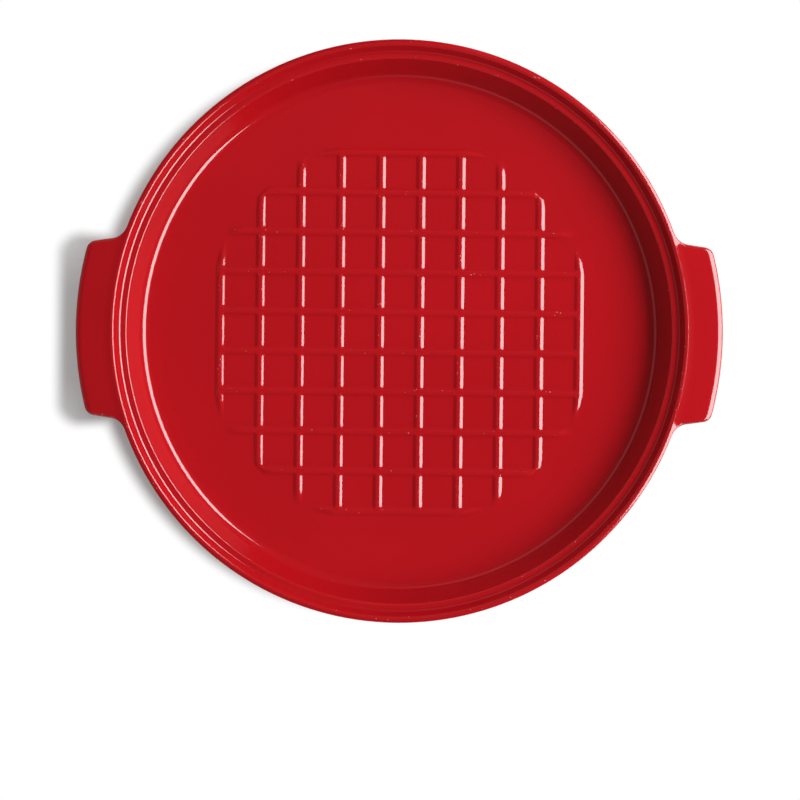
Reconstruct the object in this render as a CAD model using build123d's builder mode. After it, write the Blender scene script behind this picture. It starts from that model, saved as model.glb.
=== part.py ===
"""Bread cloche in glazed stoneware: a shallow round base with two lugs, and the bell that covers it.

Sizes are in millimetres and +Z is up. The origin is the centre of the base's foot, on the surface it stands
on, and the lugs lie along X. The bell stands upside down on its flat knob behind the base, towards +Y, as it
is laid down while the bread goes in. Half a turn about a line along X brings it over onto its seat.
"""

import os
from math import isclose, radians, tan

from build123d import *

# Base, seen from above
rim_radius = 164.2
lug_length = 18.3
lug_root_half_width = 50.4
lug_side_angle = 8.0
lug_corner_radius = 6.0
lug_root_radius = 10.0

# Base, in section, from the rim inwards
rim_height = 32.0
lip_width = 2.9
lip_wall_run = 3.5
seat_depth = 5.0
seat_width = 3.8
tray_wall_run = 7.5
floor_thickness = 8.0
foot_height = 3.0
foot_inset = 0.5
foot_width = 8.0
body_bulge = 1.6

# Flange round the rim, which carries the lugs
flange_height = 11.0
flange_overhang = 3.7
lug_top_fall = 5.0
lug_tip_thickness = 7.5

# Rounded edges and corners of the base
rim_edge_radius = 1.6
flange_under_radius = 2.0
flange_root_radius = 1.0
lip_edge_radius = 0.8
seat_edge_radius = 1.0
seat_corner_radius = 0.8
tray_corner_radius = 6.0
foot_edge_radius = 1.0
recess_corner_radius = 1.2

# Low ridges on the baking floor, a square grid inside a circle, rooted in the floor
ridge_pitch = 22.75
ridge_count = 10
ridge_width = 5.6
ridge_height = 0.8
ridge_wall_angle = 22.0
ridge_root = 1.0
ridge_margin = 34.0

# Bell
lid_clearance = 1.6
lid_wall = 6.5
bell_wall_height = 52.0
bell_wall_draft = 6.0
dome_height = 108.0
shoulder_radius = 55.0
lid_foot_edge_radius = 1.2
seated_gap = 0.2

# Knob, one piece with the bell
knob_neck_radius = 19.0
knob_overhang = 12.0
knob_neck_height = 15.0
knob_head_height = 15.0
knob_top_edge_radius = 4.0
knob_under_edge_radius = 4.0
knob_throat_radius = 4.0
knob_root_radius = 7.0

# Space between the base's rim and the bell where it is laid down
laid_gap = 60.0

# How far a cut runs past what it cuts
overrun = 5.0

# Radii of the base's section, from the rim inwards
lug_reach = rim_radius + lug_length
lip_inner_radius = rim_radius - lip_width
seat_outer_radius = lip_inner_radius - lip_wall_run
seat_inner_radius = seat_outer_radius - seat_width
floor_radius = seat_inner_radius - tray_wall_run
foot_radius = floor_radius - foot_inset
body_radius = rim_radius - flange_overhang
ridge_field_radius = floor_radius - ridge_margin
ridge_reach = ridge_pitch * (ridge_count - 1) / 2
section_reach = lug_reach + overrun

seat_height = rim_height - seat_depth
floor_height = foot_height + floor_thickness
flange_bottom = rim_height - flange_height

knob_radius = knob_neck_radius + knob_overhang
lid_foot_radius = seat_outer_radius - lid_clearance
lid_height = dome_height + knob_neck_height + knob_head_height
lid_y = rim_radius + laid_gap + lid_foot_radius

# The line that the bell turns about, half way between where it lies and where it sits
turn_y = lid_y / 2
turn_z = (seat_height + seated_gap + lid_height) / 2


def lug_half_width(x):
    """Half the lug's width at a distance x from the base's centre."""
    return lug_root_half_width - (x - rim_radius) * tan(radians(lug_side_angle))


def flange_top(radius):
    """Height of the flange's top, which falls outwards from the lip."""
    return rim_height - (radius - lip_inner_radius) * tan(radians(lug_top_fall))


def flange_underside(radius):
    """Height of the flange's underside, which rises outwards from the body to the lug's thin tip."""
    rise = flange_top(lug_reach) - lug_tip_thickness - flange_bottom
    return flange_bottom + rise * (radius - body_radius) / (lug_reach - body_radius)


def from_axis(vertex):
    """Distance of a corner of the plan from the base's centre."""
    return Vector(vertex.X, vertex.Y).length


def bell_radius(height):
    """Outer radius of the bell's straight wall at a height above its foot."""
    return lid_foot_radius - height * tan(radians(bell_wall_draft))


# Flange and lugs: one plan outline, cut to thickness by one ring-shaped section
with BuildPart() as flange:
    with BuildSketch() as plan:
        Circle(rim_radius)
        with BuildLine():
            Polyline(
                (section_reach, -lug_half_width(section_reach)),
                (section_reach, lug_half_width(section_reach)),
                (floor_radius, lug_half_width(floor_radius)),
                (-floor_radius, lug_half_width(floor_radius)),
                (-section_reach, lug_half_width(section_reach)),
                (-section_reach, -lug_half_width(section_reach)),
                (-floor_radius, -lug_half_width(floor_radius)),
                (floor_radius, -lug_half_width(floor_radius)),
                close=True,
            )
        make_face()
        Circle(lug_reach, mode=Mode.INTERSECT)
        fillet(plan.vertices().group_by(from_axis)[0], radius=lug_root_radius)
        fillet(plan.vertices().group_by(from_axis)[-1], radius=lug_corner_radius)
    extrude(amount=rim_height + overrun)
    with BuildSketch(Plane.YZ):
        with BuildLine():
            Polyline(
                (floor_radius, flange_underside(floor_radius)),
                (section_reach, flange_underside(section_reach)),
                (section_reach, flange_top(section_reach)),
                (floor_radius, flange_top(floor_radius)),
                close=True,
            )
        make_face()
    revolve(axis=Axis.Z, mode=Mode.INTERSECT)
    top_face = flange.faces().sort_by(Axis.Z)[-1]
    fillet(top_face.outer_wire().edges(), radius=rim_edge_radius)
    under_face = flange.faces().sort_by(Axis.Z)[0]
    fillet(under_face.outer_wire().edges(), radius=flange_under_radius)

# Ridges of the baking floor. Each one ends in the outermost ridges that cross it, or at the circle
with BuildPart() as ridges:
    for across in (Plane.XZ, Plane.YZ):
        with BuildSketch(across):
            with Locations((0, floor_height)):
                with GridLocations(ridge_pitch, 0, ridge_count, 1):
                    Trapezoid(ridge_width, ridge_height, ridge_wall_angle, align=(Align.CENTER, Align.MIN))
                    Rectangle(ridge_width, ridge_root, align=(Align.CENTER, Align.MAX))
        extrude(amount=ridge_reach, both=True)
    Cylinder(ridge_field_radius, 2 * rim_height, mode=Mode.INTERSECT)

# Base: body and flange in one, hollowed from above and from below
with BuildPart() as base:
    with BuildSketch(Plane.YZ):
        with BuildLine():
            Polyline(
                (body_radius, flange_underside(body_radius)),
                (body_radius, seat_height),
                (0, seat_height),
                (0, 0),
                (foot_radius, 0),
            )
            SagittaArc((foot_radius, 0), (body_radius, flange_underside(body_radius)), body_bulge)
        make_face()
    revolve(axis=Axis.Z)
    add(flange.part)
    under_flange = base.edges().filter_by(GeomType.CIRCLE).group_by(Axis.Z)[-2]
    fillet(under_flange, radius=flange_root_radius)
    with BuildSketch(Plane.YZ) as hollow:
        with BuildLine():
            Polyline(
                (0, floor_height),
                (floor_radius, floor_height),
                (seat_inner_radius, seat_height),
                (seat_outer_radius, seat_height),
                (lip_inner_radius, rim_height),
                (lip_inner_radius, rim_height + overrun),
                (0, rim_height + overrun),
                close=True,
            )
        make_face()
        corners = hollow.vertices().group_by(Axis.Y)
        fillet(corners[0].sort_by(Axis.X)[-1], radius=tray_corner_radius)
        fillet(corners[1].sort_by(Axis.X)[0], radius=seat_edge_radius)
        fillet(corners[1].sort_by(Axis.X)[-1], radius=seat_corner_radius)
    revolve(axis=Axis.Z, mode=Mode.SUBTRACT)
    lip_edge = base.edges().filter_by(GeomType.CIRCLE).group_by(Axis.Z)[-1]
    fillet(lip_edge, radius=lip_edge_radius)
    with BuildSketch(Plane.YZ) as recess:
        Rectangle(foot_radius - foot_width, foot_height, align=(Align.MIN, Align.MIN))
        fillet(recess.vertices().group_by(Axis.Y)[-1].sort_by(Axis.X)[-1], radius=recess_corner_radius)
    revolve(axis=Axis.Z, mode=Mode.SUBTRACT)
    foot_edges = base.edges().filter_by(GeomType.CIRCLE).group_by(Axis.Z)[0]
    fillet(foot_edges, radius=foot_edge_radius)
    add(ridges.part)

# Bell: one section, turned about its axis. A wall of one thickness is trimmed flat at its foot, and the knob
# is on its crown. The section's plane stands on the foot and points down: the bell is laid upside down.
laid_down = Plane(origin=(0, lid_y, lid_height), x_dir=(1, 0, 0), z_dir=(0, 1, 0))
with BuildPart() as lid:
    with BuildSketch(laid_down) as section:
        with BuildLine() as bell_line:
            wall_top = (bell_radius(bell_wall_height), bell_wall_height)
            wall = Line((bell_radius(-lid_wall), -lid_wall), wall_top)
            TangentArc((0, dome_height), wall @ 1, tangent=(1, 0))
            fillet(bell_line.vertices().sort_by(Axis.X)[1], radius=shoulder_radius)
            offset(amount=lid_wall, side=Side.LEFT)
        make_face()
        Rectangle(2 * rim_radius, 2 * lid_wall, align=(Align.CENTER, Align.MAX), mode=Mode.SUBTRACT)
        fillet(section.vertices().group_by(Axis.Y)[0], radius=lid_foot_edge_radius)
        with BuildLine():
            Polyline(
                (0, dome_height - lid_wall / 2),
                (knob_neck_radius, dome_height - lid_wall / 2),
                (knob_neck_radius, dome_height + knob_neck_height),
                (knob_radius, dome_height + knob_neck_height),
                (knob_radius, lid_height),
                (0, lid_height),
                close=True,
            )
        make_face()
        neck_corners = section.vertices().filter_by(lambda v: isclose(v.X, knob_neck_radius)).sort_by(Axis.Y)
        fillet(neck_corners[0], radius=knob_root_radius)
        fillet(neck_corners[-1], radius=knob_throat_radius)
        head_corners = section.vertices().filter_by(lambda v: isclose(v.X, knob_radius)).sort_by(Axis.Y)
        fillet(head_corners[0], radius=knob_under_edge_radius)
        fillet(head_corners[-1], radius=knob_top_edge_radius)
    revolve(axis=Axis((0, lid_y, 0), (0, 0, 1)))

base.part.label = "base"
lid.part.label = "lid"
os.makedirs("parts", exist_ok=True)
export_step(base.part, "parts/base.step")
export_step(lid.part, "parts/lid.step")
print("The bell turns about the line y", turn_y, "z", turn_z)
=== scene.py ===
"""Bread cloche in red glazed stoneware: the looks of its base and its bell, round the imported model.

The base and the bell are modelled here as by hand, in metres, where the model's nodes stand. The file is laid
out as an add-on: one operator for each piece and one for the studio, and a panel that lists them.
"""

from math import atan2, cos, hypot, pi, radians, sin, sqrt, tan

import bmesh
import bpy
from mathutils import Matrix, Vector


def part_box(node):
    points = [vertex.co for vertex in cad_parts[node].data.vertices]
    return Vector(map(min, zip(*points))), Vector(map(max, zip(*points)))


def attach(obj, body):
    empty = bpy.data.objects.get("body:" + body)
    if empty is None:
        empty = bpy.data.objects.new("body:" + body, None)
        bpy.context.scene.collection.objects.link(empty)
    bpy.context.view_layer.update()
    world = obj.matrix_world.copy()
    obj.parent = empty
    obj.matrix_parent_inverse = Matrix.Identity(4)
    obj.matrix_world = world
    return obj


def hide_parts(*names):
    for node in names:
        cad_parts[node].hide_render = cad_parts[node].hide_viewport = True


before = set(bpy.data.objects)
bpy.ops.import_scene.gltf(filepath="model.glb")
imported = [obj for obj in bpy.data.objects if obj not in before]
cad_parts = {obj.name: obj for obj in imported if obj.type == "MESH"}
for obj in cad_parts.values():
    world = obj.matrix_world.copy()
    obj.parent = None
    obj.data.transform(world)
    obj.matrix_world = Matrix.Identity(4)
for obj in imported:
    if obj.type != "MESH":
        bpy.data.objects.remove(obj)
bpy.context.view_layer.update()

bl_info = {
    "name": "Bread cloche",
    "version": (1, 0, 0),
    "blender": (4, 5, 0),
    "location": "3D View > Sidebar > Cloche",
    "description": "Models a glazed stoneware bread cloche, base and bell, in a plain studio",
    "category": "Add Mesh",
}

base_low, base_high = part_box("base")
bell_low, bell_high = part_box("lid")

# Steps round the bell, and round the base's rim between the lugs in a quarter of it
BELL_STEPS = 192
RIM_STEPS = 36
# Steps round each arc of a lug's outline, along its straight side, and round the flange's edges
OUTLINE_STEPS = 8
SIDE_STEPS = 3
EDGE_STEPS = 10
# A bend of this radius or less counts in full where glaze thins on an edge or pools in a corner
SHARP_RADIUS = 0.0015
# How far up a foot the clay is bare
BARE_HEIGHT = 0.0008
# Two points nearer than this are one place
NEAR = 0.00002


def length_setting(name, description, default):
    """A length in metres, for a group of settings."""
    return bpy.props.FloatProperty(name=name, description=description, default=default, unit="LENGTH")


def angle_setting(name, description, degrees):
    """An angle, given in degrees, for a group of settings."""
    return bpy.props.FloatProperty(name=name, description=description, default=radians(degrees), subtype="ANGLE")


class ClocheBaseSizes(bpy.types.PropertyGroup):
    """Sizes of the base"""

    rim_radius: length_setting("Rim radius", "Radius of the round rim, between the lugs", base_high.y)
    rim_height: length_setting("Rim height", "Height of the lip above the table", 0.032)
    lip_width: length_setting("Lip width", "Width of the rim's top, from its outer edge to the lip", 0.0029)
    lip_wall_run: length_setting("Lip wall run", "How far the wall under the lip slopes inwards", 0.0035)
    seat_depth: length_setting("Seat depth", "Depth of the ledge that the bell stands on", 0.005)
    seat_width: length_setting("Seat width", "Width of the ledge that the bell stands on", 0.0038)
    tray_wall_run: length_setting("Tray wall run", "How far the tray's wall slopes inwards", 0.0075)
    floor_height: length_setting("Floor height", "Height of the baking floor above the table", 0.011)
    foot_height: length_setting("Foot height", "Height of the foot ring", 0.003)
    foot_inset: length_setting(
        "Foot inset", "How far the foot ring lies inside the baking floor's edge", 0.0005)
    foot_width: length_setting("Foot width", "Width of the foot ring", 0.008)
    body_bulge: length_setting("Body bulge", "How far the outer wall swells between foot and flange", 0.0016)
    flange_height: length_setting("Flange height", "Height of the flange round the rim", 0.011)
    flange_overhang: length_setting("Flange overhang", "How far the flange stands out from the body", 0.0037)
    lug_reach: length_setting("Lug reach", "Distance from the base's centre to a lug's tip", base_high.x)
    lug_root_half_width: length_setting(
        "Lug root half width", "Half the width of a lug at the rim's radius", 0.0504)
    lug_side_angle: angle_setting("Lug side angle", "Slant of a lug's sides, towards its tip", 8.0)
    lug_corner_radius: length_setting(
        "Lug corner radius", "Radius of a lug's outer corners, seen from above", 0.006)
    lug_root_radius: length_setting(
        "Lug root radius", "Radius where a lug's side meets the rim, seen from above", 0.01)
    lug_top_fall: angle_setting("Lug top fall", "Slope of the lugs' top, outwards and down", 5.0)
    lug_tip_thickness: length_setting(
        "Lug tip thickness", "Thickness of a lug at its tip, before its edge is rounded", 0.0075)
    rim_fall: angle_setting("Rim fall", "Slope of the rim's narrow top, outwards and down", 18.0)
    ridge_pitch: length_setting("Ridge pitch", "Distance between two ridges of the baking floor", 0.02275)
    ridge_count: bpy.props.IntProperty(
        name="Ridge count", description="Number of ridges each way", default=10, min=2)
    ridge_half_width: length_setting(
        "Ridge half width", "Half the width of a ridge with its rounded foot", 0.0031)
    ridge_flank: length_setting("Ridge flank", "Width of a ridge's sloping side", 0.0025)
    ridge_height: length_setting("Ridge height", "Height of a ridge above the floor", 0.0009)
    ridge_field_radius: length_setting(
        "Ridge field radius", "Radius of the circle that the ridges fill", 0.1125)


class ClocheBaseEdges(bpy.types.PropertyGroup):
    """Radii of the base's rounded edges and corners"""

    rim: length_setting("Rim", "Radius of the rim's outer top edge", 0.0007)
    lug_side: length_setting("Lug side", "Radius of the top edge along a lug's sides", 0.0022)
    lug_tip: length_setting("Lug tip", "Radius of the top edge along a lug's tip", 0.0014)
    lug_crown: length_setting("Lug crown", "Radius of the slow curve that leads down to a lug's tip", 0.009)
    under: length_setting("Under", "Radius of the flange's lower edge", 0.0019)
    lip: length_setting("Lip", "Radius of the lip's inner edge", 0.002)
    seat: length_setting("Seat", "Radius of the seat's inner edge", 0.0015)
    seat_corner: length_setting("Seat corner", "Radius of the corner behind the seat", 0.003)
    tray_corner: length_setting("Tray corner", "Radius of the corner between baking floor and wall", 0.007)
    flange_root: length_setting("Flange root", "Radius of the corner under the flange", 0.0009)
    foot: length_setting("Foot", "Radius of the foot ring's edges", 0.001)


class ClocheBellSizes(bpy.types.PropertyGroup):
    """Sizes of the bell, from its foot up to its knob"""

    foot_radius: length_setting("Foot radius", "Outer radius of the bell's foot", 0.1562)
    wall: length_setting("Wall", "Thickness of the bell's wall", 0.0065)
    wall_draft: angle_setting("Wall draft", "Slope of the bell's straight wall", 6.0)
    wall_height: length_setting(
        "Wall height", "Height at which the wall would meet the dome, were it not rounded", 0.052)
    dome_height: length_setting("Dome height", "Height of the bell's crown above its foot", 0.108)
    shoulder_radius: length_setting("Shoulder radius", "Radius of the round between wall and dome", 0.055)
    neck_radius: length_setting("Neck radius", "Radius of the knob's neck", 0.019)
    neck_height: length_setting("Neck height", "Height of the knob's neck", 0.015)
    head_height: length_setting("Head height", "Height of the knob's flat head", 0.015)
    knob_overhang: length_setting("Knob overhang", "How far the knob's head stands out from its neck", 0.012)
    knob_root: length_setting("Knob root", "Radius of the round where the neck meets the dome", 0.007)
    knob_edge: length_setting("Knob edge", "Radius of the rounds of the knob's head and throat", 0.004)
    foot_edge: length_setting("Foot edge", "Radius of the foot's rounded edges", 0.0012)


class ClocheFinish(bpy.types.PropertyGroup):
    """Colours of the glaze and the clay, in sRGB hex"""

    glaze: bpy.props.StringProperty(
        name="Glaze", description="Colour of the glaze at its usual thickness", default="#bc131c")
    glaze_thin: bpy.props.StringProperty(
        name="Thin glaze", description="Colour of the glaze where it drew back from an edge", default="#bf1d20")
    glaze_pool: bpy.props.StringProperty(
        name="Pooled glaze", description="Colour of the glaze where it pooled in a corner", default="#a50c14")
    clay: bpy.props.StringProperty(
        name="Clay", description="Colour of the bare fired clay", default="#c9b193")
    clay_dark: bpy.props.StringProperty(
        name="Dark clay", description="Colour of the darker grains in the clay", default="#a08463")
    # A pinhole's pale colour is a painted glint of light on the pitted edges
    pinhole_glint: bpy.props.StringProperty(
        name="Pinhole", description="Colour of a pinhole in the glaze", default="#d8857f")


def linear_colour(text):
    """Linear colour with alpha from an sRGB hex value."""
    channels = [int(text[i:i + 2], 16) / 255 for i in (1, 3, 5)]
    return [c / 12.92 if c <= 0.04045 else ((c + 0.055) / 1.055) ** 2.4 for c in channels] + [1.0]


def add_node(tree, kind, settings=None, links=None):
    """Adds one node, with its settings and inputs by name or number, and links other nodes' outputs to it."""
    node = tree.nodes.new(kind)
    for key, value in (settings or {}).items():
        if isinstance(key, int) or key in node.inputs:
            node.inputs[key].default_value = value
        else:
            setattr(node, key, value)
    for key, output in (links or {}).items():
        tree.links.new(output, node.inputs[key])
    return node


def new_material(name):
    """An empty node material and its tree."""
    material = bpy.data.materials.new(name)
    material.use_nodes = True
    material.node_tree.nodes.clear()
    return material, material.node_tree


def glaze_material(finish):
    """Lead-free gloss glaze, dipped and fired on stoneware.

    It gives an even, deep red with sharp reflections that waver a little. On edges it draws thin and leaves
    a few pitted pinholes, painted pale as painted glints of light, and in corners it pools darker.
    """
    material, tree = new_material("dipped_red_gloss_glaze")
    place = add_node(tree, "ShaderNodeTexCoord").outputs["Object"]
    edge = add_node(tree, "ShaderNodeAttribute", {"attribute_name": "edge"}).outputs["Fac"]
    corner = add_node(tree, "ShaderNodeAttribute", {"attribute_name": "corner"}).outputs["Fac"]

    # Clouds of thicker glaze, about 90 mm across
    clouds = add_node(tree, "ShaderNodeTexNoise", {"Scale": 1 / 0.09, "Detail": 3.0}, {"Vector": place})
    cloud_share = add_node(tree, "ShaderNodeMapRange", {"From Min": 0.35, "From Max": 0.65, "To Max": 0.25},
                           {"Value": clouds.outputs["Fac"]})
    body = add_node(tree, "ShaderNodeMix", {"data_type": "RGBA", 6: linear_colour(finish.glaze),
                                            7: linear_colour(finish.glaze_pool)},
                    {0: cloud_share.outputs["Result"]})
    pooled = add_node(tree, "ShaderNodeMix", {"data_type": "RGBA", 7: linear_colour(finish.glaze_pool)},
                      {0: corner, 6: body.outputs[2]})
    drawn = add_node(tree, "ShaderNodeMix", {"data_type": "RGBA", 7: linear_colour(finish.glaze_thin)},
                     {0: edge, 6: pooled.outputs[2]})

    # Pinholes 0.6 mm across, about 2 mm apart, only on the edges and only in patches: real pits in the glaze,
    # whose pale colour is a painted glint of light
    holes = add_node(tree, "ShaderNodeTexVoronoi", {"Scale": 1 / 0.0022}, {"Vector": place})
    hole_share = add_node(tree, "ShaderNodeMapRange", {"From Min": 0.18, "From Max": 0.1},
                          {"Value": holes.outputs["Distance"]})
    patches = add_node(tree, "ShaderNodeTexNoise", {"Scale": 1 / 0.012, "Detail": 2.0}, {"Vector": place})
    patch_share = add_node(tree, "ShaderNodeMapRange", {"From Min": 0.52, "From Max": 0.6},
                           {"Value": patches.outputs["Fac"]})
    thin = add_node(tree, "ShaderNodeMapRange", {"From Min": 0.08, "From Max": 0.25}, {"Value": edge})
    on_edge = add_node(tree, "ShaderNodeMath", {"operation": "MULTIPLY"},
                       {0: hole_share.outputs["Result"], 1: thin.outputs["Result"]})
    pinholes_and_glints = add_node(tree, "ShaderNodeMath", {"operation": "MULTIPLY"},
                        {0: on_edge.outputs[0], 1: patch_share.outputs["Result"]})
    # Painted glints: the pinholes are painted pale
    colour = add_node(tree, "ShaderNodeMix", {"data_type": "RGBA", 7: linear_colour(finish.pinhole_glint)},
                      {0: pinholes_and_glints.outputs[0], 6: drawn.outputs[2]})

    # The melt's surface: slow waves 35 mm long, orange peel 2.5 mm across, and finer ripples on the edges
    waves = add_node(tree, "ShaderNodeTexNoise", {"Scale": 1 / 0.035, "Detail": 1.0}, {"Vector": place})
    waved = add_node(tree, "ShaderNodeBump", {"Strength": 1.0, "Distance": 0.00005},
                     {"Height": waves.outputs["Fac"]})
    peel = add_node(tree, "ShaderNodeTexNoise", {"Scale": 1 / 0.0025, "Detail": 1.0}, {"Vector": place})
    peeled = add_node(tree, "ShaderNodeBump", {"Strength": 1.0, "Distance": 0.000006},
                      {"Height": peel.outputs["Fac"], "Normal": waved.outputs["Normal"]})
    ripple = add_node(tree, "ShaderNodeTexNoise", {"Scale": 1 / 0.0016, "Detail": 0.0}, {"Vector": place})
    ripple_height = add_node(tree, "ShaderNodeMath", {"operation": "MULTIPLY"},
                             {0: ripple.outputs["Fac"], 1: edge})
    rippled = add_node(tree, "ShaderNodeBump", {"Strength": 1.0, "Distance": 0.00006},
                       {"Height": ripple_height.outputs[0], "Normal": peeled.outputs["Normal"]})
    pitted = add_node(tree, "ShaderNodeBump", {"Strength": 1.0, "Distance": 0.0001, "invert": True},
                      {"Height": pinholes_and_glints.outputs[0], "Normal": rippled.outputs["Normal"]})

    roughness = add_node(tree, "ShaderNodeMapRange", {"To Min": 0.07, "To Max": 0.11},
                         {"Value": clouds.outputs["Fac"]})
    shader = add_node(tree, "ShaderNodeBsdfPrincipled", {"IOR": 1.6},
                      {"Base Color": colour.outputs[2], "Roughness": roughness.outputs["Result"],
                       "Normal": pitted.outputs["Normal"]})
    add_node(tree, "ShaderNodeOutputMaterial", links={"Surface": shader.outputs["BSDF"]})
    return material


def clay_material(finish):
    """Fired stoneware clay, wiped bare of glaze with a sponge before firing.

    It gives a dry, matt, buff surface with fine grog grains.
    """
    material, tree = new_material("sponged_bare_stoneware")
    place = add_node(tree, "ShaderNodeTexCoord").outputs["Object"]
    # Grog grains 0.8 mm across
    grains = add_node(tree, "ShaderNodeTexNoise", {"Scale": 1 / 0.0008, "Detail": 3.0}, {"Vector": place})
    stains = add_node(tree, "ShaderNodeTexNoise", {"Scale": 1 / 0.02, "Detail": 3.0}, {"Vector": place})
    share = add_node(tree, "ShaderNodeMath", {"operation": "MULTIPLY"},
                     {0: grains.outputs["Fac"], 1: stains.outputs["Fac"]})
    spread = add_node(tree, "ShaderNodeMapRange", {"From Min": 0.12, "From Max": 0.4},
                      {"Value": share.outputs[0]})
    colour = add_node(tree, "ShaderNodeMix", {"data_type": "RGBA", 6: linear_colour(finish.clay),
                                              7: linear_colour(finish.clay_dark)},
                      {0: spread.outputs["Result"]})
    bump = add_node(tree, "ShaderNodeBump", {"Strength": 1.0, "Distance": 0.00006},
                    {"Height": grains.outputs["Fac"]})
    shader = add_node(tree, "ShaderNodeBsdfPrincipled", {"Roughness": 0.85, "IOR": 1.5},
                      {"Base Color": colour.outputs[2], "Normal": bump.outputs["Normal"]})
    add_node(tree, "ShaderNodeOutputMaterial", links={"Surface": shader.outputs["BSDF"]})
    return material


def arc(centre, radius, start, end, steps):
    """Points along an arc from one angle to another, ends included."""
    return [(centre[0] + radius * cos(start + (end - start) * i / steps),
             centre[1] + radius * sin(start + (end - start) * i / steps)) for i in range(steps + 1)]


def round_section(corners, steps):
    """A section through corners given as (radius, height, rounding), with an arc at each rounded corner."""
    points = []
    for index, (radius, height, rounding) in enumerate(corners):
        here = Vector((radius, height))
        if not rounding:
            points.append(tuple(here))
            continue
        back = (Vector(corners[index - 1][:2]) - here).normalized()
        ahead = (Vector(corners[index + 1][:2]) - here).normalized()
        half = back.angle(ahead) / 2
        centre = here + (back + ahead).normalized() * rounding / sin(half)
        first = here + back * rounding / tan(half) - centre
        last = here + ahead * rounding / tan(half) - centre
        start = atan2(first.y, first.x)
        turn = (atan2(last.y, last.x) - start + pi) % (2 * pi) - pi
        points += arc(centre, rounding, start, start + turn, steps)
    return points


def turn_section(name, points, angles):
    """A round body about the Z axis: a circle at the section's first point, drawn out ring by ring."""
    bpy.ops.object.select_all(action="DESELECT")
    (radius, height), *others = points
    bpy.ops.mesh.primitive_circle_add(vertices=len(angles), radius=radius)
    piece = bpy.context.active_object
    piece.name = name
    for vert, angle in zip(piece.data.vertices, angles):
        vert.co = (radius * cos(angle), radius * sin(angle), 0)
    bpy.ops.object.mode_set(mode="EDIT")
    bpy.ops.transform.translate(value=(0, 0, height))
    for next_radius, next_height in others:
        bpy.ops.mesh.extrude_region_move(TRANSFORM_OT_translate={"value": (0, 0, next_height - height)})
        ratio = next_radius / radius
        bpy.ops.transform.resize(value=(ratio, ratio, 1), center_override=(0, 0, 0))
        radius, height = next_radius, next_height
    bpy.ops.mesh.edge_face_add()
    bpy.ops.object.mode_set(mode="OBJECT")
    return piece


def select_where(piece, kind, test):
    """In edit mode, selects only the verts, edges or faces that pass a test, and returns how many they are."""
    bpy.ops.mesh.select_mode(type={"verts": "VERT", "edges": "EDGE", "faces": "FACE"}[kind])
    bpy.ops.mesh.select_all(action="DESELECT")
    mesh = bmesh.from_edit_mesh(piece.data)
    chosen = [item for item in getattr(mesh, kind) if test(item)]
    for item in chosen:
        item.select_set(True)
    mesh.select_flush_mode()
    bmesh.update_edit_mesh(piece.data)
    return len(chosen)


def choose(piece):
    """Makes a piece the only one selected, and the active one."""
    bpy.ops.object.select_all(action="DESELECT")
    piece.select_set(True)
    bpy.context.view_layer.objects.active = piece


def edit(piece):
    """Makes a piece the only one selected, and opens it in edit mode."""
    choose(piece)
    bpy.ops.object.mode_set(mode="EDIT")


def apply_modifier(piece, kind, **settings):
    """Adds a modifier with its settings and applies it."""
    choose(piece)
    modifier = piece.modifiers.new(kind.lower(), kind)
    for key, value in settings.items():
        setattr(modifier, key, value)
    bpy.ops.object.modifier_apply(modifier=modifier.name)


def radius_of(point):
    """Distance of a point from the Z axis."""
    return hypot(point.x, point.y)


def mix(first, second, share):
    """A value between two others, by its share of the second."""
    return first + (second - first) * share


def ease(share):
    """A share held between 0 and 1, with a soft start and a soft end."""
    share = min(1.0, max(0.0, share))
    return share * share * (3 - 2 * share)


def flange_underside(sizes, radius):
    """Height of the flange's and lugs' underside at a radius."""
    bottom = sizes.rim_height - sizes.flange_height
    lip_radius = sizes.rim_radius - sizes.lip_width
    body_radius = sizes.rim_radius - sizes.flange_overhang
    tip_top = sizes.rim_height - (sizes.lug_reach - lip_radius) * tan(sizes.lug_top_fall)
    tip = tip_top - sizes.lug_tip_thickness
    return bottom + (tip - bottom) * (radius - body_radius) / (sizes.lug_reach - body_radius)


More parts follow.
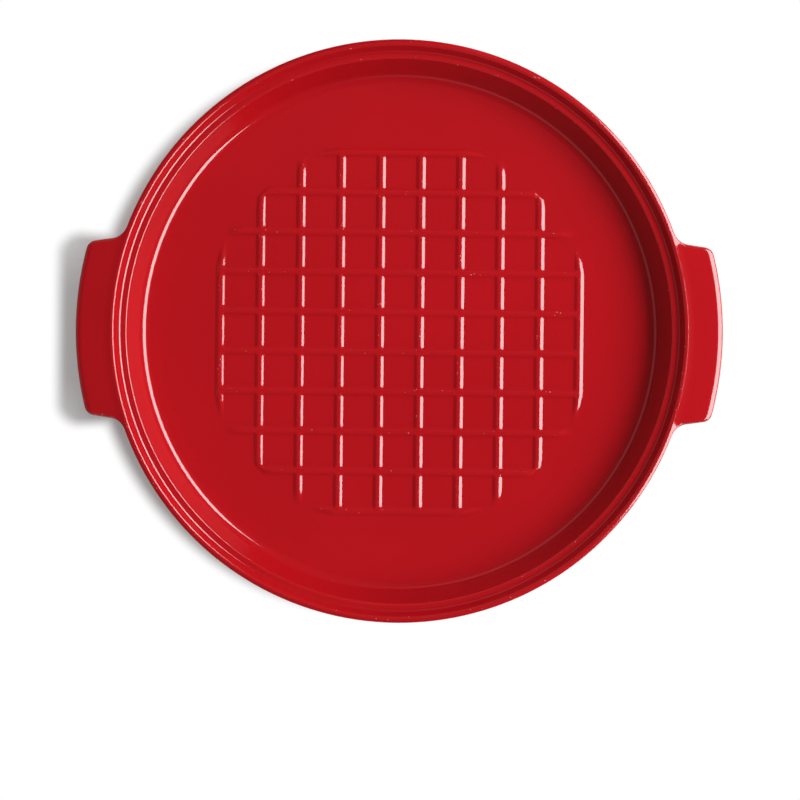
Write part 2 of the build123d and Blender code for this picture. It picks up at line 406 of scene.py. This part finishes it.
def lug_outline(sizes):
    """The flange's outline from above, as (point, outward normal, share of the tip) all the way round.

    A lug's tip is an arc about the base's centre. A rounded corner leads to its slanting side, and a hollow
    corner leads from there to the round rim.
    """
    slant, corner, root = sizes.lug_side_angle, sizes.lug_corner_radius, sizes.lug_root_radius
    side_normal = Vector((sin(slant), cos(slant)))
    along_side = Vector((cos(slant), -sin(slant)))
    side = Vector((sizes.rim_radius, sizes.lug_root_half_width)).dot(side_normal)

    def round_centre(offset, distance):
        return side_normal * offset + along_side * sqrt(distance ** 2 - offset ** 2)

    corner_centre = round_centre(side - corner, sizes.lug_reach - corner)
    root_centre = round_centre(side + root, sizes.rim_radius + root)
    tip_end = atan2(corner_centre.y, corner_centre.x)
    rim_start = atan2(root_centre.y, root_centre.x)
    side_angle = pi / 2 - slant
    side_start = corner_centre + side_normal * corner
    side_end = root_centre - side_normal * root

    def heading(angle):
        return Vector((cos(angle), sin(angle)))

    quarter = []
    for i in range(OUTLINE_STEPS):
        normal = heading(tip_end * i / OUTLINE_STEPS)
        quarter.append((normal * sizes.lug_reach, normal, 1.0))
    for i in range(OUTLINE_STEPS):
        normal = heading(mix(tip_end, side_angle, i / OUTLINE_STEPS))
        quarter.append((corner_centre + normal * corner, normal, 1 - ease(i / OUTLINE_STEPS)))
    for i in range(SIDE_STEPS):
        quarter.append((side_start.lerp(side_end, i / SIDE_STEPS), side_normal, 0.0))
    for i in range(OUTLINE_STEPS):
        normal = heading(mix(side_angle, rim_start, i / OUTLINE_STEPS))
        quarter.append((root_centre - normal * root, normal, 0.0))
    for i in range(RIM_STEPS + 1):
        normal = heading(mix(rim_start, pi / 2, i / RIM_STEPS))
        quarter.append((normal * sizes.rim_radius, normal, 0.0))

    def mirrored(places, x, y):
        return [(Vector((point.x * x, point.y * y)), Vector((normal.x * x, normal.y * y)), share)
                for point, normal, share in reversed(places)]

    half = quarter + mirrored(quarter[:-1], -1, 1)
    return half + mirrored(half[1:-1], 1, -1)


def base_section(sizes, edges, floor_ring):
    """Section of the base, from the baking floor over the rim to the underside's centre.

    It comes in three lists of points: up to the lip, over the flange, and down to the foot.
    """
    inner_steps, wall_steps, under_steps = 8, 10, 6
    lip = sizes.rim_radius - sizes.lip_width
    seat_outer = lip - sizes.lip_wall_run
    seat_inner = seat_outer - sizes.seat_width
    tray = seat_inner - sizes.tray_wall_run
    foot = tray - sizes.foot_inset
    seat_height = sizes.rim_height - sizes.seat_depth
    body = sizes.rim_radius - sizes.flange_overhang
    rim_top = sizes.rim_height - sizes.lip_width * tan(sizes.rim_fall)
    root = (body, flange_underside(sizes, body))
    inner = [
        (floor_ring, sizes.floor_height, 0),
        (tray, sizes.floor_height, edges.tray_corner),
        (seat_inner, seat_height, edges.seat),
        (seat_outer, seat_height, edges.seat_corner),
        (lip, sizes.rim_height, edges.lip),
    ]
    rim = (sizes.rim_radius, rim_top, edges.rim)
    under = (sizes.rim_radius, flange_underside(sizes, sizes.rim_radius), edges.under)
    wall = [(*point, 0) for point in bulged_wall(root, (foot, 0.0), sizes.body_bulge, wall_steps)]
    outer = [
        (*root, edges.flange_root),
        *wall,
        (foot, 0.0, edges.foot),
        (foot - sizes.foot_width, 0.0, edges.foot),
        (foot - sizes.foot_width, sizes.foot_height, edges.foot),
        (0.0, sizes.foot_height, 0),
    ]
    up_to_lip = round_section(inner + [(*rim[:2], 0)], inner_steps)[:-1]
    over_rim = round_section([(lip, sizes.rim_height, 0), rim, under, (*root, 0)], EDGE_STEPS)[1:-1]
    down = round_section([(*under[:2], 0)] + outer, under_steps)[1:-1]
    return up_to_lip, over_rim, down


def bulged_wall(top, bottom, bulge, steps):
    """Points between two ends of a wall that swells outwards, along a shallow arc."""
    run, drop = bottom[0] - top[0], bottom[1] - top[1]
    length = hypot(run, drop)
    out = (-drop / length, run / length)
    points = []
    for step in range(1, steps):
        share = step / steps
        swell = bulge * 4 * share * (1 - share)
        points.append((top[0] + run * share + out[0] * swell, top[1] + drop * share + out[1] * swell))
    return points


def lug_rings(sizes, edges, lip_end, place, normal, tip_share):
    """Where the flange's rings go at one place of the outline: over the top, round the edge and back under."""
    # The slopes beside the rim and where they end, and the crown's tilt where the edge begins
    near_slope, past_slope, crown_end = radians(12.0), radians(7.0), radians(26.5)
    near_rim, past_rim, blend = 0.0023, 0.0043, 0.006
    out = ease((place.length - sizes.rim_radius) / blend)
    crown = mix(edges.rim, mix(edges.lug_side, edges.lug_crown, tip_share), out)
    edge = mix(edges.rim, mix(edges.lug_side, edges.lug_tip, tip_share), out)
    start = mix(sizes.rim_fall, sizes.lug_top_fall, out)
    change = mix((sizes.rim_fall + pi / 2) / 2, crown_end, out)
    inset = edge * (1 - sin(change)) + crown * (sin(change) - sin(start))

    # Over the top: a little steeper beside the rim, then level almost to the edge
    first = place.normalized() * lip_end[0]
    reach = (place - normal * inset) - first
    near, far = min(near_rim, reach.length / 3), min(past_rim, reach.length * 2 / 3)
    height = lip_end[1]
    rings = []
    for distance, before, slope in ((near, 0.0, mix(sizes.rim_fall, near_slope, out)),
                                    (far, near, mix(sizes.rim_fall, past_slope, out))):
        height -= (distance - before) * tan(slope)
        rings.append((first + reach.normalized() * distance, height))
    height -= (reach.length - far) * tan(start)

    # Round the edge: the crown's slow curve, then the edge itself
    steps = EDGE_STEPS // 2
    for i in range(steps + 1):
        tilt = mix(start, change, i / steps)
        rings.append((place - normal * (inset - crown * (sin(tilt) - sin(start))),
                      height - crown * (cos(start) - cos(tilt))))
    height = rings[-1][1]
    for i in range(1, steps + 1):
        tilt = mix(change, pi / 2, i / steps)
        rings.append((place - normal * edge * (1 - sin(tilt)), height - edge * (cos(change) - cos(tilt))))

    # Back under: the lower edge, to where the underside starts
    low = flange_underside(sizes, (place - normal * edges.under).length)
    for i in range(2 * steps + 1):
        turn = pi / 2 * i / (2 * steps)
        rings.append((place - normal * edges.under * (1 - cos(turn)), low + edges.under * (1 - sin(turn))))
    return rings


def draw_lugs(base, sizes, edges, lip_end, flange, outline):
    """Draws the lugs out of the round flange: its rings move out to the lugs' outline and take its edges."""
    columns = [(place.normalized(), lug_rings(sizes, edges, lip_end, place, normal, tip_share))
               for place, normal, tip_share in outline if place.length > sizes.rim_radius + NEAR / 4]
    moved = 0
    for vert in base.data.vertices:
        radius = radius_of(vert.co)
        if radius < sizes.rim_radius - sizes.flange_overhang:
            continue
        heading = vert.co.xy.normalized()
        towards, rings = min(columns, key=lambda column: (column[0] - heading).length_squared)
        if (towards - heading).length > NEAR * 5:
            continue
        for (ring_radius, ring_height), (place, height) in zip(flange, rings):
            if abs(radius - ring_radius) < NEAR / 4 and abs(vert.co.z - ring_height) < NEAR / 4:
                vert.co = (place.x, place.y, height)
                moved += 1
                break
    if moved != len(columns) * len(flange):
        raise RuntimeError(f"The lugs moved {moved} points of {len(columns) * len(flange)}")


def ridge_stations(sizes, margin):
    """Where the lines of the baking floor's grid run: close together over the ridges, wide between them."""
    centres = [(i - (sizes.ridge_count - 1) / 2) * sizes.ridge_pitch for i in range(sizes.ridge_count)]
    steps_in_ridge, steps_between = 14, 6
    stations = []
    for centre in centres:
        stations += [centre + sizes.ridge_half_width * (2 * i / steps_in_ridge - 1)
                     for i in range(steps_in_ridge + 1)]
        land = sizes.ridge_pitch - 2 * sizes.ridge_half_width
        stations += [centre + sizes.ridge_half_width + land * i / steps_between
                     for i in range(1, steps_between)]
    edge = sizes.ridge_field_radius + margin
    return [-edge] + [s for s in stations if abs(s) < edge - NEAR] + [edge], centres


def ridge_share(sizes, distance):
    """Height of a ridge as a share, by the distance from its middle: straight flanks with soft ends."""
    share = min(1.0, max(0.0, (sizes.ridge_half_width - distance) / sizes.ridge_flank))
    return mix(share, ease(share), 0.4)


def baking_floor(sizes, margin):
    """The middle of the baking floor: a fine grid, raised along its ridges and trimmed to a circle."""
    stations, centres = ridge_stations(sizes, margin)
    cells = len(stations) - 1
    bpy.ops.object.select_all(action="DESELECT")
    bpy.ops.mesh.primitive_grid_add(x_subdivisions=cells, y_subdivisions=cells, size=2.0)
    grid = bpy.context.active_object
    # Each ridge ends at the circle or in the outermost ridges that cross it, which run unbroken
    outermost = centres[-1] + NEAR
    end_length = 0.0035
    for vert in grid.data.vertices:
        x = stations[round((vert.co.x + 1) / 2 * cells)]
        y = stations[round((vert.co.y + 1) / 2 * cells)]
        across = ridge_share(sizes, min(abs(x - c) for c in centres)) if abs(y) < outermost else 0.0
        along = ridge_share(sizes, min(abs(y - c) for c in centres)) if abs(x) < outermost else 0.0
        raised = 1 - (1 - across) * (1 - along)
        inside = ease((sizes.ridge_field_radius - hypot(x, y)) / end_length)
        vert.co = (x, y, sizes.floor_height + sizes.ridge_height * raised * inside)
    edit(grid)
    select_where(grid, "verts", lambda v: radius_of(v.co) > sizes.ridge_field_radius + margin / 2)
    bpy.ops.mesh.delete(type="VERT")
    bpy.ops.object.mode_set(mode="OBJECT")
    return grid


def join_floor(base, grid):
    """Joins the baking floor to the base and fills the flat ring between them."""
    bpy.ops.object.select_all(action="DESELECT")
    grid.select_set(True)
    base.select_set(True)
    bpy.context.view_layer.objects.active = base
    bpy.ops.object.join()
    edit(base)
    select_where(base, "edges", lambda e: len(e.link_faces) == 1)
    bpy.ops.mesh.fill(use_beauty=True)
    bpy.ops.object.mode_set(mode="OBJECT")


def turn_outwards(piece):
    """Turns all faces of a closed piece outwards."""
    edit(piece)
    bpy.ops.mesh.select_all(action="SELECT")
    bpy.ops.mesh.normals_make_consistent(inside=False)
    bpy.ops.object.mode_set(mode="OBJECT")


def write_edges(piece):
    """Writes how sharply the surface bends at each point, as two attributes: edge outwards, corner inwards."""
    # Faces whose middles are nearer than this count as this far apart
    least_gap = 0.0001
    mesh = bmesh.new()
    mesh.from_mesh(piece.data)
    mesh.normal_update()
    bends = []
    for vert in mesh.verts:
        bend = 0.0
        for edge in vert.link_edges:
            if len(edge.link_faces) == 2 and edge.calc_length() > 0:
                bend += edge.calc_face_angle_signed(0.0) / max(least_gap, sum(
                    (face.calc_center_median() - (edge.verts[0].co + edge.verts[1].co) / 2).length
                    for face in edge.link_faces))
        bends.append(bend / max(1, len(vert.link_edges)))
    mesh.free()
    for name, sign in (("edge", 1), ("corner", -1)):
        attribute = piece.data.attributes.new(name, "FLOAT", "POINT")
        attribute.data.foreach_set("value", [min(1.0, max(0.0, sign * bend * SHARP_RADIUS)) for bend in bends])


def finish_ware(piece, materials, bare):
    """Shades a piece smoothly, gives it its glaze, and leaves the faces that are bare without glaze."""
    for material in materials:
        piece.data.materials.append(material)
    for face in piece.data.polygons:
        face.material_index = 1 if bare(face.center) else 0
    choose(piece)
    bpy.ops.object.shade_smooth()
    apply_modifier(piece, "WEIGHTED_NORMAL", mode="FACE_AREA", weight=50, keep_sharp=False)


class CLOCHE_OT_base(bpy.types.Operator):
    """Model the base: a round tray with a rebated rim, two lugs and a ridged baking floor"""

    bl_idname = "cloche.base"
    bl_label = "Base"

    def execute(self, context):
        sizes = context.scene.cloche_base
        edges = context.scene.cloche_edges
        # Width of the flat ring of grid round the ridges
        margin = 0.009
        outline = lug_outline(sizes)
        up_to_lip, over_rim, down = base_section(sizes, edges, sizes.ridge_field_radius + margin)
        # Two more rings on the rim's narrow top, which go out over the lugs
        lip_end, rim_start = Vector(up_to_lip[-1]), Vector(over_rim[0])
        over_top = [tuple(lip_end.lerp(rim_start, share)) for share in (1 / 3, 2 / 3)]
        flange = over_top + over_rim
        angles = [atan2(place.y, place.x) for place, normal, tip_share in outline]
        base = turn_section("stoneware_base", up_to_lip + flange + down, angles)
        draw_lugs(base, sizes, edges, lip_end, flange, outline)
        join_floor(base, baking_floor(sizes, margin))
        turn_outwards(base)
        write_edges(base)
        foot_inner = sizes.rim_radius - sizes.lip_width - sizes.lip_wall_run - sizes.seat_width \
            - sizes.tray_wall_run - sizes.foot_inset - sizes.foot_width
        finish_ware(base, ware_materials(context),
                    lambda p: p.z < BARE_HEIGHT and radius_of(p) > foot_inner - NEAR)
        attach(base, "base")
        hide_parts("base")
        return {"FINISHED"}


def ware_materials(context):
    """The glaze and the bare clay, made once."""
    glaze = bpy.data.materials.get("dipped_red_gloss_glaze") or glaze_material(context.scene.cloche_finish)
    clay = bpy.data.materials.get("sponged_bare_stoneware") or clay_material(context.scene.cloche_finish)
    return glaze, clay


def bell_section(sizes):
    """Section of the bell from its inner crown to its foot, at height zero, and up to the knob's flat top."""
    inner_steps, outer_steps, shoulder_steps, round_steps, foot_steps = 30, 26, 16, 8, 6
    # Radius of the flat that closes the inner crown
    pole = 0.004
    draft, shoulder = sizes.wall_draft, sizes.shoulder_radius
    corner_radius = sizes.foot_radius - sizes.wall_height * tan(draft)
    rise = sizes.dome_height - sizes.wall_height
    dome = (corner_radius ** 2 + rise ** 2) / (2 * rise)
    dome_centre = sizes.dome_height - dome
    # The shoulder's centre, inside both the wall and the dome by the shoulder's radius
    inside_wall = sizes.foot_radius * cos(draft) - shoulder
    offset = inside_wall - dome_centre * sin(draft)
    along = dome_centre * cos(draft) + sqrt((dome - shoulder) ** 2 - offset ** 2)
    centre = (inside_wall * cos(draft) - along * sin(draft), inside_wall * sin(draft) + along * cos(draft))
    shoulder_start = atan2(centre[1] - dome_centre, centre[0])

    inner_foot = sizes.foot_radius - sizes.wall / cos(draft)
    inner = dome - sizes.wall
    points = arc((0.0, dome_centre), inner, pi / 2 - pole / inner, shoulder_start, inner_steps)
    points += arc(centre, shoulder - sizes.wall, shoulder_start, draft, shoulder_steps)[1:]
    inner_top, outer_top = points[-1], (centre[0] + shoulder * cos(draft), centre[1] + shoulder * sin(draft))
    foot_corners = [(*inner_top, 0), (inner_foot, 0.0, sizes.foot_edge),
                    (sizes.foot_radius, 0.0, sizes.foot_edge), (*outer_top, 0)]
    points += round_section(foot_corners, foot_steps)[1:]
    points += arc(centre, shoulder, draft, shoulder_start, shoulder_steps)[1:]

    root_x = sizes.neck_radius + sizes.knob_root
    root_height = dome_centre + sqrt((dome + sizes.knob_root) ** 2 - root_x ** 2)
    dome_end = atan2(root_height - dome_centre, root_x)
    points += arc((0.0, dome_centre), dome, shoulder_start, dome_end, outer_steps)[1:]
    points += arc((root_x, root_height), sizes.knob_root, dome_end + pi, pi, round_steps)[1:]
    head = sizes.dome_height + sizes.neck_height
    top, knob = head + sizes.head_height, sizes.neck_radius + sizes.knob_overhang
    knob_corners = [(sizes.neck_radius, root_height, 0), (sizes.neck_radius, head, sizes.knob_edge),
                    (knob, head, sizes.knob_edge), (knob, top, sizes.knob_edge), (0.0, top, 0)]
    return points + round_section(knob_corners, round_steps)[1:-1]


class CLOCHE_OT_bell(bpy.types.Operator):
    """Model the bell: a thick domed wall with a flat knob, laid upside down behind the base"""

    bl_idname = "cloche.bell"
    bl_label = "Bell"

    def execute(self, context):
        laid = [(radius, bell_high.z - height) for radius, height in bell_section(context.scene.cloche_bell)]
        bell = turn_section("stoneware_bell", laid, [2 * pi * i / BELL_STEPS for i in range(BELL_STEPS)])
        edit(bell)
        select_where(bell, "edges", lambda e: len(e.link_faces) == 1)
        bpy.ops.mesh.edge_face_add()
        bpy.ops.mesh.select_all(action="SELECT")
        bpy.ops.transform.translate(value=(0, (bell_low.y + bell_high.y) / 2, 0))
        bpy.ops.object.mode_set(mode="OBJECT")
        turn_outwards(bell)
        write_edges(bell)
        finish_ware(bell, ware_materials(context), lambda p: p.z > bell_high.z - BARE_HEIGHT)
        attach(bell, "lid")
        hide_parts("lid")
        return {"FINISHED"}


class ClocheStudio(bpy.types.PropertyGroup):
    """The studio round the ware, and the camera above it"""

    rim_centre_px: bpy.props.FloatVectorProperty(
        name="Rim centre", description="Where the rim's centre stands in a picture 800 pixels wide, in pixels",
        size=2, default=(399.25, 331.0))
    rim_radius_px: bpy.props.FloatProperty(
        name="Rim radius", description="Radius of the rim in that picture, in pixels", default=292.2)
    turn: angle_setting("Turn", "How far the base is turned clockwise in the picture", 0.67)
    camera_distance: length_setting("Camera distance", "Distance from the camera down to the rim", 1.3)
    key_azimuth: angle_setting("Key azimuth", "Direction of the key light, seen from above, from +X", 3.0)
    key_elevation: angle_setting("Key elevation", "Height of the key light above the horizon", 38.5)
    key_distance: length_setting("Key distance", "Distance of the key light from the base's centre", 2.4)
    key_size: bpy.props.FloatVectorProperty(
        name="Key size", description="Width and height of the key light's window", size=2,
        default=(4.3, 1.25))
    key_level: bpy.props.FloatProperty(
        name="Key level", description="Share of full light that the key gives a level surface", default=1.03)
    key_shine: bpy.props.FloatProperty(
        name="Key shine", description="Brightness of the key's window in the glaze, where 1 is white",
        default=9.5)
    side_distance: length_setting("Side distance", "Distance of the side light from the base's centre", 0.8)
    side_level: bpy.props.FloatProperty(
        name="Side level", description="Share of full light that the side light gives a level surface",
        default=0.15)
    fill_level: bpy.props.FloatProperty(
        name="Fill level", description="Share of full light that comes from all round", default=0.2)


def add_camera(context, studio):
    """A camera straight above, framed as the picture is, and rolled by the base's turn."""
    picture = 800
    scale = context.scene.cloche_base.rim_radius / studio.rim_radius_px
    across = (picture / 2 - studio.rim_centre_px[0]) * scale
    up = (studio.rim_centre_px[1] - picture / 2) * scale
    place = Matrix.Rotation(studio.turn, 3, "Z") @ Vector((across, up, 0))
    place.z = context.scene.cloche_base.rim_height + studio.camera_distance
    bpy.ops.object.camera_add(location=place, rotation=(0, 0, studio.turn))
    camera = context.active_object
    camera.data.sensor_width = 36.0
    camera.data.lens = camera.data.sensor_width * studio.camera_distance / (picture * scale)
    camera.data.clip_start = 0.05
    camera.data.clip_end = 20.0
    context.scene.camera = camera


def add_lamp(name, place, aim, size, energy):
    """A rectangular lamp at a place, turned to a point, that the camera doesn't see."""
    turned = (aim - place).to_track_quat("-Z", "Y").to_euler()
    bpy.ops.object.light_add(type="AREA", location=place, rotation=turned)
    lamp = bpy.context.active_object
    lamp.name = name
    lamp.data.shape = "RECTANGLE"
    lamp.data.size, lamp.data.size_y = size
    lamp.data.energy = energy
    lamp.visible_camera = False
    return lamp


def add_lights(studio):
    """A wide key softbox and a side light, and the key's window once more as the glaze mirrors it."""
    def place(azimuth, elevation, distance):
        flat = cos(elevation)
        return Vector((flat * cos(azimuth), flat * sin(azimuth), sin(elevation))) * distance

    def energy(level, elevation, distance):
        return level * pi ** 2 * distance ** 2 / sin(elevation)

    key_place = place(studio.key_azimuth, studio.key_elevation, studio.key_distance)
    key = add_lamp("key_softbox", key_place, Vector(), studio.key_size,
                   energy(studio.key_level, studio.key_elevation, studio.key_distance))
    key.visible_glossy = False
    width, height = studio.key_size
    # It stands a little nearer, because two lamps in one place hide each other
    nearer = 0.96
    shine = add_lamp("key_shine", key_place * nearer, Vector(), (width * nearer, height * nearer),
                     studio.key_shine * pi * width * height * nearer ** 2)
    shine.visible_diffuse = False
    # It shows in the glaze itself, and hardly at all where one wall mirrors another
    shine.data.use_nodes = True
    tree = shine.data.node_tree
    depth = add_node(tree, "ShaderNodeLightPath").outputs["Ray Depth"]
    direct = add_node(tree, "ShaderNodeMapRange",
                      {"From Min": 2.0, "From Max": 3.0, "To Min": 1.0, "To Max": 0.1}, {"Value": depth})
    tree.links.new(direct.outputs["Result"], tree.nodes["Emission"].inputs["Strength"])
    side_elevation, side_size = radians(65), (0.8, 0.5)
    side = add_lamp("side_softbox", place(pi / 2, side_elevation, studio.side_distance), Vector(), side_size,
                    energy(studio.side_level, side_elevation, studio.side_distance))
    side.visible_glossy = False


def add_world(context, studio):
    """White to the camera, an even fill to rough surfaces, and to gloss a room that is dark overhead."""
    world = bpy.data.worlds.new("studio_room")
    context.scene.world = world
    world.use_nodes = True
    tree = world.node_tree
    tree.nodes.clear()
    rays = add_node(tree, "ShaderNodeLightPath")
    direction = add_node(tree, "ShaderNodeTexCoord").outputs["Generated"]
    parts = add_node(tree, "ShaderNodeSeparateXYZ", links={"Vector": direction})
    # The fill comes mostly from above, and more from +X and +Y than from -X and -Y
    slant = add_node(tree, "ShaderNodeVectorMath", {"operation": "DOT_PRODUCT", 1: (0.15, 0.2, 1.0)},
                     {0: direction})
    fill = add_node(tree, "ShaderNodeMapRange", {"To Min": 0.3 * studio.fill_level,
                                                 "To Max": 1.35 * studio.fill_level},
                    {"Value": slant.outputs["Value"]})
    # Towards -X a pale wall from 16 to 37 degrees above the horizon, with soft ends, and a dark room round it
    wall_level, room_level = 0.4, 0.05
    rise = add_node(tree, "ShaderNodeMapRange", {"From Min": sin(radians(13)), "From Max": sin(radians(19))},
                    {"Value": parts.outputs["Z"]})
    fall = add_node(tree, "ShaderNodeMapRange", {"From Min": sin(radians(42)), "From Max": sin(radians(32))},
                    {"Value": parts.outputs["Z"]})
    behind = add_node(tree, "ShaderNodeMapRange", {"From Min": 0.3, "From Max": -0.3, "To Max": wall_level},
                      {"Value": parts.outputs["X"]})
    band = add_node(tree, "ShaderNodeMath", {"operation": "MULTIPLY"},
                    {0: rise.outputs["Result"], 1: fall.outputs["Result"]})
    wall = add_node(tree, "ShaderNodeMath", {"operation": "MULTIPLY"},
                    {0: band.outputs[0], 1: behind.outputs["Result"]})
    room = add_node(tree, "ShaderNodeMath", {"operation": "ADD", 1: room_level}, {0: wall.outputs[0]})
    shine = add_node(tree, "ShaderNodeMix", {"data_type": "FLOAT"},
                     {0: rays.outputs["Is Glossy Ray"], 2: fill.outputs["Result"], 3: room.outputs[0]})
    seen = add_node(tree, "ShaderNodeMix", {"data_type": "FLOAT", 3: 1.0},
                    {0: rays.outputs["Is Camera Ray"], 2: shine.outputs[0]})
    light = add_node(tree, "ShaderNodeBackground", links={"Strength": seen.outputs[0]})
    add_node(tree, "ShaderNodeOutputWorld", links={"Surface": light.outputs["Background"]})


def round_distance(tree, place, centre, radius):
    """Distance on the table from a circle, below zero inside it."""
    offset = add_node(tree, "ShaderNodeVectorMath", {"operation": "DISTANCE", 1: (*centre, 0.0)}, {0: place})
    distance = add_node(tree, "ShaderNodeMath", {"operation": "SUBTRACT", 1: radius},
                        {0: offset.outputs["Value"]})
    return distance.outputs[0]


def clear_share(tree, distance, reach):
    """A share that rises from 0 to 1 over the first reach of a distance."""
    share = add_node(tree, "ShaderNodeMapRange", {"interpolation_type": "SMOOTHSTEP", "From Max": reach},
                     {"Value": distance})
    return share.outputs["Result"]


def add_table(context):
    """A wide white tabletop that glows white to the camera as painted light, and keeps the ware's shadow close
    round it.
    """
    # How far the shadow is drawn in beside a lug, and how softly it turns from the lug to the rim
    lug_inset, turn_in = 0.008, 0.006
    # Its reach beside the base, drawn in all round and let out towards -X, its reach beside the bell, and
    # how much painted white glow still lies over it
    base_reach, drawn_in, let_out, bell_reach, least_white = 0.0095, 0.008, 0.086, 0.03, 0.2
    bpy.ops.mesh.primitive_plane_add(size=12.0)
    table = bpy.context.active_object
    table.name = "white_tabletop"
    material, tree = new_material("matt_white_board")
    # Matt painted board. To the camera it glows white as painted light. Away from the base and the bell it is
    # pure white and their shadow is painted out, and in their shadow a fifth of the glow stays.
    rays = add_node(tree, "ShaderNodeLightPath")
    place = add_node(tree, "ShaderNodeTexCoord").outputs["Object"]
    base = context.scene.cloche_base
    from_rim = round_distance(tree, place, (0.0, 0.0), base.rim_radius)
    folded = add_node(tree, "ShaderNodeVectorMath", {"operation": "ABSOLUTE"}, {0: place})
    past_lug = add_node(tree, "ShaderNodeVectorMath",
                        {"operation": "SUBTRACT",
                         1: (base.lug_reach, base.lug_root_half_width - lug_inset, 0.0)},
                        {0: folded.outputs["Vector"]})
    outside = add_node(tree, "ShaderNodeVectorMath", {"operation": "MAXIMUM", 1: (0.0, 0.0, 0.0)},
                       {0: past_lug.outputs["Vector"]})
    from_lug = add_node(tree, "ShaderNodeVectorMath", {"operation": "LENGTH"}, {0: outside.outputs["Vector"]})
    from_base = add_node(tree, "ShaderNodeMath", {"operation": "SMOOTH_MIN", 2: turn_in},
                         {0: from_rim, 1: from_lug.outputs["Value"]})
    # The shadow reaches farther on the side away from the key
    x = add_node(tree, "ShaderNodeSeparateXYZ", links={"Vector": place}).outputs["X"]
    away = add_node(tree, "ShaderNodeMath", {"operation": "MINIMUM", 1: 0.0}, {0: x})
    pull = add_node(tree, "ShaderNodeMath", {"operation": "MULTIPLY_ADD", 1: let_out, 2: drawn_in},
                    {0: away.outputs[0]})
    shifted = add_node(tree, "ShaderNodeMath", {"operation": "ADD"},
                       {0: from_base.outputs[0], 1: pull.outputs[0]})
    beside_base = clear_share(tree, shifted.outputs[0], base_reach)
    from_bell = round_distance(tree, place, (0.0, (bell_low.y + bell_high.y) / 2),
                               context.scene.cloche_bell.foot_radius)
    beside_bell = clear_share(tree, from_bell, bell_reach)
    clear = add_node(tree, "ShaderNodeMath", {"operation": "MULTIPLY"}, {0: beside_base, 1: beside_bell})
    painted_glow_share = add_node(tree, "ShaderNodeMapRange", {"To Min": least_white}, {"Value": clear.outputs[0]})
    seen = add_node(tree, "ShaderNodeMath", {"operation": "MULTIPLY"},
                    {0: painted_glow_share.outputs["Result"], 1: rays.outputs["Is Camera Ray"]})
    board = add_node(tree, "ShaderNodeBsdfDiffuse", {"Color": (0.92, 0.92, 0.92, 1.0)})
    # The painted light: a white glow that only the camera sees
    white = add_node(tree, "ShaderNodeEmission")
    both = add_node(tree, "ShaderNodeMixShader", links={0: seen.outputs[0], 1: board.outputs["BSDF"],
                                                        2: white.outputs["Emission"]})
    add_node(tree, "ShaderNodeOutputMaterial", links={"Surface": both.outputs["Shader"]})
    table.data.materials.append(material)


class CLOCHE_OT_studio(bpy.types.Operator):
    """Set up the studio: tabletop, soft light, room and camera"""

    bl_idname = "cloche.studio"
    bl_label = "Studio"

    def execute(self, context):
        studio = context.scene.cloche_studio
        bpy.ops.object.select_all(action="DESELECT")
        add_table(context)
        add_lights(studio)
        add_world(context, studio)
        add_camera(context, studio)
        context.scene.view_settings.view_transform = "Standard"
        return {"FINISHED"}


class CLOCHE_PT_panel(bpy.types.Panel):
    """Lists the cloche's pieces"""

    bl_label = "Bread cloche"
    bl_idname = "CLOCHE_PT_panel"
    bl_space_type = "VIEW_3D"
    bl_region_type = "UI"
    bl_category = "Cloche"

    def draw(self, context):
        for operator in OPERATORS:
            self.layout.operator(operator.bl_idname)


OPERATORS = (CLOCHE_OT_base, CLOCHE_OT_bell, CLOCHE_OT_studio)
SETTINGS = {
    "cloche_base": ClocheBaseSizes,
    "cloche_edges": ClocheBaseEdges,
    "cloche_bell": ClocheBellSizes,
    "cloche_finish": ClocheFinish,
    "cloche_studio": ClocheStudio,
}


def register():
    for cls in (*SETTINGS.values(), *OPERATORS, CLOCHE_PT_panel):
        bpy.utils.register_class(cls)
    for name, cls in SETTINGS.items():
        setattr(bpy.types.Scene, name, bpy.props.PointerProperty(type=cls))


def unregister():
    for name in SETTINGS:
        delattr(bpy.types.Scene, name)
    for cls in (CLOCHE_PT_panel, *reversed(OPERATORS), *reversed(SETTINGS.values())):
        bpy.utils.unregister_class(cls)


def main():
    register()
    bpy.ops.cloche.base()
    bpy.ops.cloche.bell()
    bpy.ops.cloche.studio()


if __name__ == "__main__":
    main()
